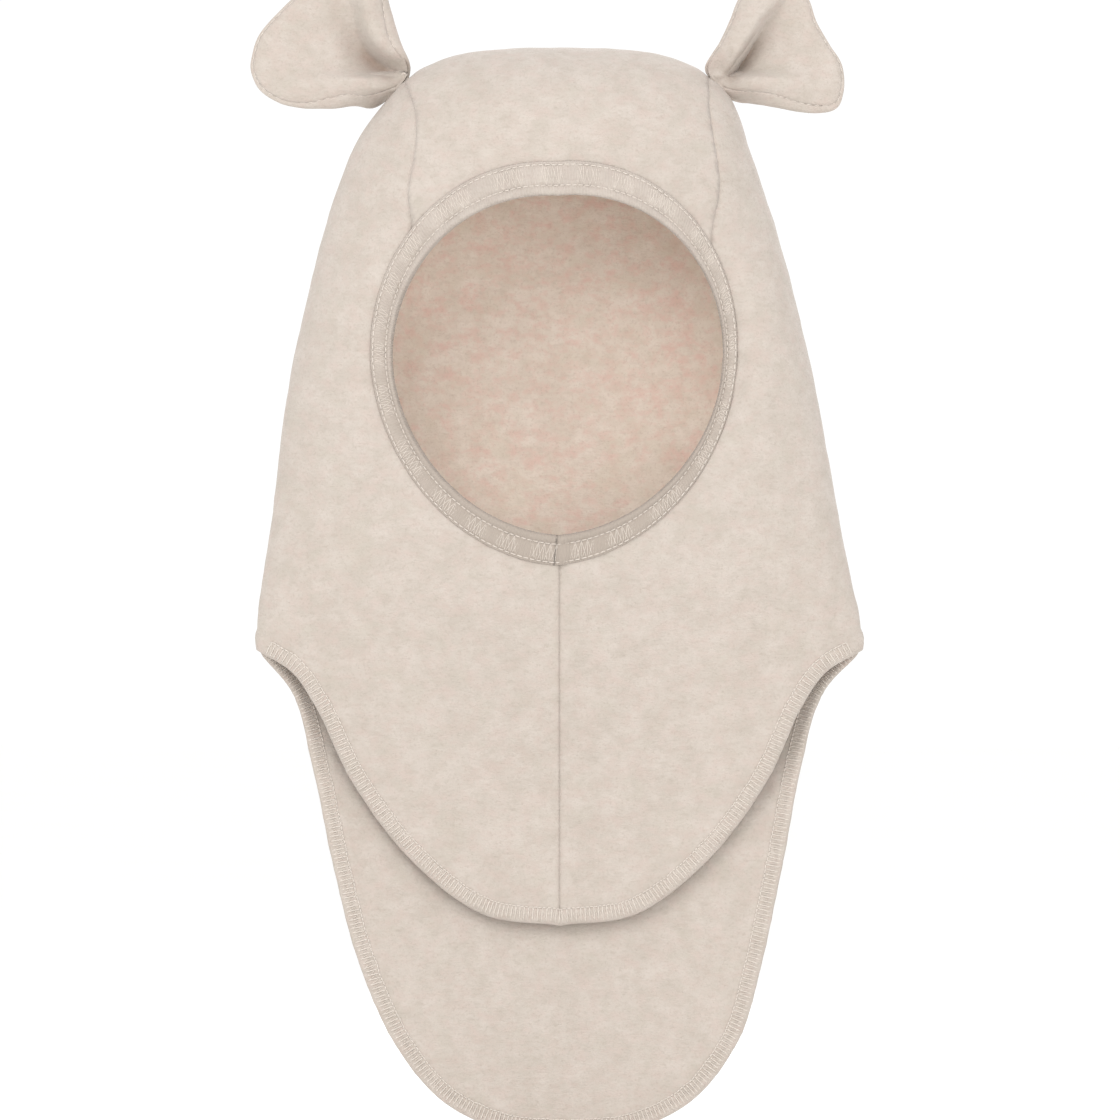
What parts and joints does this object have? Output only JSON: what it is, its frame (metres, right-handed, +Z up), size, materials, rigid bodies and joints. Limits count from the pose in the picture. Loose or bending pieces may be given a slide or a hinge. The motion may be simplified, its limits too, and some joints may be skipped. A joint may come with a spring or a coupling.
{
  "type": "child's balaclava with ears",
  "caption": "Sewn fleece balaclava for a small child, with a bound round face opening, front bib, longer back flap and pleated ears.",
  "frame": {"origin": "inside of the crown top, where the hood rests on a head", "axes": "+Z up out of the top of the head, -Y the way the face looks, +X to the right as seen from the front"},
  "size_m": [0.2446, 0.0912, 0.4742],
  "materials": {
    "fleece": "brushed heathered beige wool fleece, matt with a soft nap",
    "ear_lining": "brushed heathered beige wool fleece, matt, a little lighter",
    "knit": "fine rib-knitted binding, heathered beige, matt",
    "thread": "light beige overlock and coverstitch thread, slight sheen",
    "label": "blank white woven tape"
  },
  "bodies": {
    "hood": {"crown_back_panel": "fleece", "left_side_panel": "fleece", "right_side_panel": "fleece", "face_binding": "knit", "binding_outer_stitch": "thread", "binding_inner_stitch": "thread", "left_crown_seam": "thread", "right_crown_seam": "thread", "center_front_seam": "thread", "bib_hem_stitch": "thread", "flap_hem_stitch": "thread", "care_label": "label", "left_ear_root_tack": "thread", "right_ear_root_tack": "thread"},
    "left_ear": {"left_ear_lining": "ear_lining", "left_ear_back": "fleece", "left_ear_rim_seam": "thread"},
    "right_ear": {"right_ear_lining": "ear_lining", "right_ear_back": "fleece", "right_ear_rim_seam": "thread"}
  },
  "joints": [
    {"name": "left_ear_flop", "type": "hinge", "parent": "hood", "child": "left_ear", "pos_m": [-0.06231, 0, -0.00796], "axis": [0, 1, 0], "range_deg": [-12, 40], "stiffness_Nm_per_rad": 0.05},
    {"name": "right_ear_flop", "type": "hinge", "parent": "hood", "child": "right_ear", "pos_m": [0.06231, 0, -0.00796], "axis": [0, -1, 0], "range_deg": [-12, 40], "stiffness_Nm_per_rad": 0.05}
  ]
}
